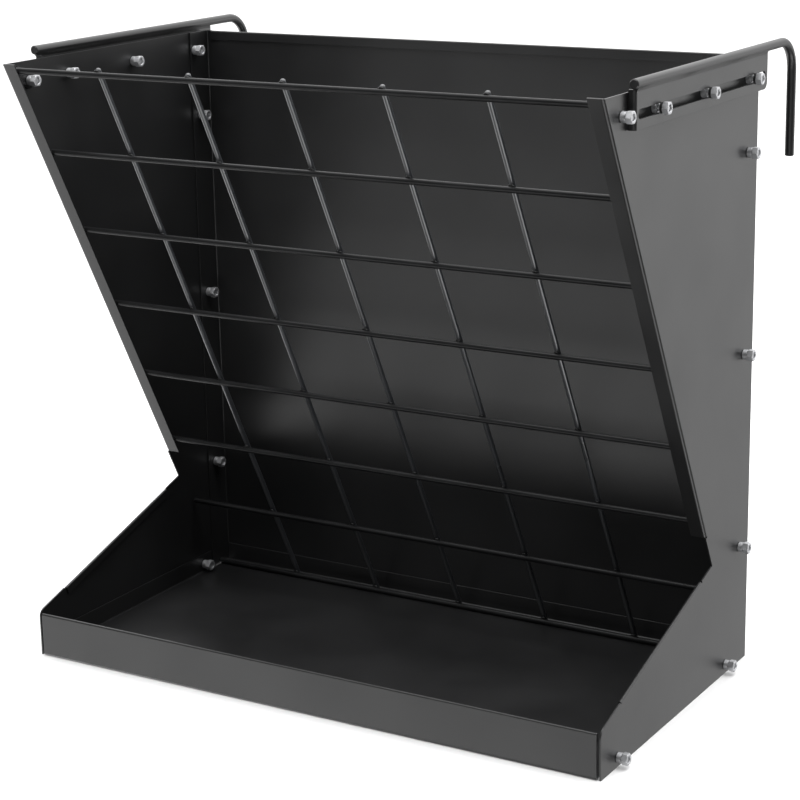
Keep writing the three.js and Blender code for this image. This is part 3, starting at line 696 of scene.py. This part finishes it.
# Brightness of the studio around the box by the height z of a direction, behind it and before it,
# and round patches in it: direction, cosines at which a patch is full and gone, brightness
sky = dict(rear=((-1, 0.15), (-0.75, 0.45), (-0.45, 1.1), (-0.28, 0.72), (-0.1, 0.66), (0.1, 1.1),
                 (0.4, 2.2), (0.85, 2.2)),
           front=((-1, 0.15), (-0.8, 0.3), (-0.6, 1.4), (-0.42, 2.6), (-0.36, 3.7), (-0.31, 3.7),
                  (-0.25, 0.7), (-0.18, 0.07), (0.6, 0.07), (0.9, 1.6), (1, 2.2)),
           patches=(((0.9, -0.36, -0.25), (0.96, 0.8), 0.2), ((0.56, -0.27, -0.78), (0.97, 0.93), 3.7),
                    ((0.83, 0.3, -0.47), (0.98, 0.92), 0.02), ((0.62, 0.78, -0.1), (0.99, 0.955), 2.6),
                    ((-0.785, 0.1, -0.61), (0.96, 0.88), 2.8)))
lamps = dict(
    overhead=dict(place=(0.2, -0.3, 3.2), aim=(0, 0, 0), size=(3.4, 3.0), power=70),
    front=dict(place=(-2.6, -3.2, 2.2), aim=(0, 0, 0.3), size=(2.2, 2.6), power=12))


# A pale square, left out of reflections and of bounced light
def makeFloor():
    mesh = bpy.data.meshes.new("floor")
    half = studio["floorSize"] / 2
    corners = [(-half, -half, 0), (half, -half, 0), (half, half, 0), (-half, half, 0)]
    mesh.from_pydata(corners, [], [(0, 1, 2, 3)])
    material = bpy.data.materials.new("paleFloor")
    material.use_nodes = True
    shader = material.node_tree.nodes["Principled BSDF"]
    shader.inputs["Base Color"].default_value = (*(studio["floorColour"],) * 3, 1)
    shader.inputs["Roughness"].default_value = studio["floorRoughness"]
    shader.inputs["Specular IOR Level"].default_value = 0.0
    mesh.materials.append(material)
    floor = bpy.data.objects.new("floor", mesh)
    bpy.context.collection.objects.link(floor)
    floor.visible_diffuse = floor.visible_glossy = False


# Turns a lamp so that its -Z axis points from its place to the aim
def aimAt(lamp, aim):
    lamp.rotation_euler = (Vector(aim) - lamp.location).to_track_quat("-Z", "Y").to_euler()


# Light from direction d = (x, y, z): rear(z)*w + front(z)*(1 - w), where w rises smoothly with y,
# and then for each patch light*(1 - m) + patch*m, where m rises smoothly with d . patch direction.
# What the camera itself sees behind the floor is an even pale tone. Colours of a mix node have
# their sockets at first, second and mixed
def makeSky():
    first, second, mixed = 6, 7, 2
    world = bpy.data.worlds.new("studioSky")
    bpy.context.scene.world = world
    world.use_nodes = True
    nodes, links = world.node_tree.nodes, world.node_tree.links
    around = nodes["Background"]
    around.inputs["Strength"].default_value = studio["skyPeak"]
    direction = nodes.new("ShaderNodeTexCoord")
    axes = nodes.new("ShaderNodeSeparateXYZ")
    links.new(direction.outputs["Generated"], axes.inputs["Vector"])
    height = nodes.new("ShaderNodeMapRange")
    height.inputs["From Min"].default_value = -1
    links.new(axes.outputs["Z"], height.inputs["Value"])
    behind = nodes.new("ShaderNodeMapRange")
    behind.interpolation_type = "SMOOTHSTEP"
    behind.inputs["From Min"].default_value, behind.inputs["From Max"].default_value = studio["turnOver"]
    links.new(axes.outputs["Y"], behind.inputs["Value"])
    blend = nodes.new("ShaderNodeMix")
    blend.data_type = "RGBA"
    links.new(behind.outputs["Result"], blend.inputs["Factor"])
    for half, socket in (("front", first), ("rear", second)):
        tones = nodes.new("ShaderNodeValToRGB")
        marks = tones.color_ramp.elements
        for i, (z, brightness) in enumerate(sky[half]):
            mark = marks[i] if i < 2 else marks.new((z + 1) / 2)
            mark.position = (z + 1) / 2
            mark.color = (*(brightness / studio["skyPeak"],) * 3, 1)
        links.new(height.outputs["Result"], tones.inputs["Fac"])
        links.new(tones.outputs["Color"], blend.inputs[socket])
    light = blend.outputs[mixed]
    for towards, (full, gone), brightness in sky["patches"]:
        nearness = nodes.new("ShaderNodeVectorMath")
        nearness.operation = "DOT_PRODUCT"
        nearness.inputs[1].default_value = towards
        links.new(direction.outputs["Generated"], nearness.inputs[0])
        mask = nodes.new("ShaderNodeMapRange")
        mask.interpolation_type = "SMOOTHSTEP"
        mask.inputs["From Min"].default_value, mask.inputs["From Max"].default_value = gone, full
        links.new(nearness.outputs["Value"], mask.inputs["Value"])
        patched = nodes.new("ShaderNodeMix")
        patched.data_type = "RGBA"
        patched.inputs[second].default_value = (*(brightness / studio["skyPeak"],) * 3, 1)
        links.new(mask.outputs["Result"], patched.inputs["Factor"])
        links.new(light, patched.inputs[first])
        light = patched.outputs[mixed]
    links.new(light, around.inputs["Color"])
    backdrop = nodes.new("ShaderNodeBackground")
    backdrop.inputs["Color"].default_value = (*(studio["background"],) * 3, 1)
    ray = nodes.new("ShaderNodeLightPath")
    choice = nodes.new("ShaderNodeMixShader")
    links.new(ray.outputs["Is Camera Ray"], choice.inputs["Fac"])
    links.new(around.outputs["Background"], choice.inputs[1])
    links.new(backdrop.outputs["Background"], choice.inputs[2])
    links.new(choice.outputs["Shader"], nodes["World Output"].inputs["Surface"])


# Two area lamps, and the camera at the photograph's angle
def makeStudio():
    scene = bpy.context.scene
    scene.view_settings.view_transform = "Standard"
    for name, look in lamps.items():
        light = bpy.data.lights.new(name, "AREA")
        light.shape = "RECTANGLE"
        light.size, light.size_y = look["size"]
        light.energy = look["power"]
        lamp = bpy.data.objects.new(name, light)
        bpy.context.collection.objects.link(lamp)
        lamp.location = look["place"]
        aimAt(lamp, look["aim"])
    look = studio["camera"]
    camera = bpy.data.objects.new("camera", bpy.data.cameras.new("camera"))
    bpy.context.collection.objects.link(camera)
    camera.location = look["place"]
    camera.rotation_euler = [math.radians(angle) for angle in look["turn"]]
    camera.data.lens = look["lens"]
    camera.data.sensor_width = look["sensor"]
    scene.camera = camera


makeFloor()
makeSky()
makeStudio()
print("feeder box: studio set")
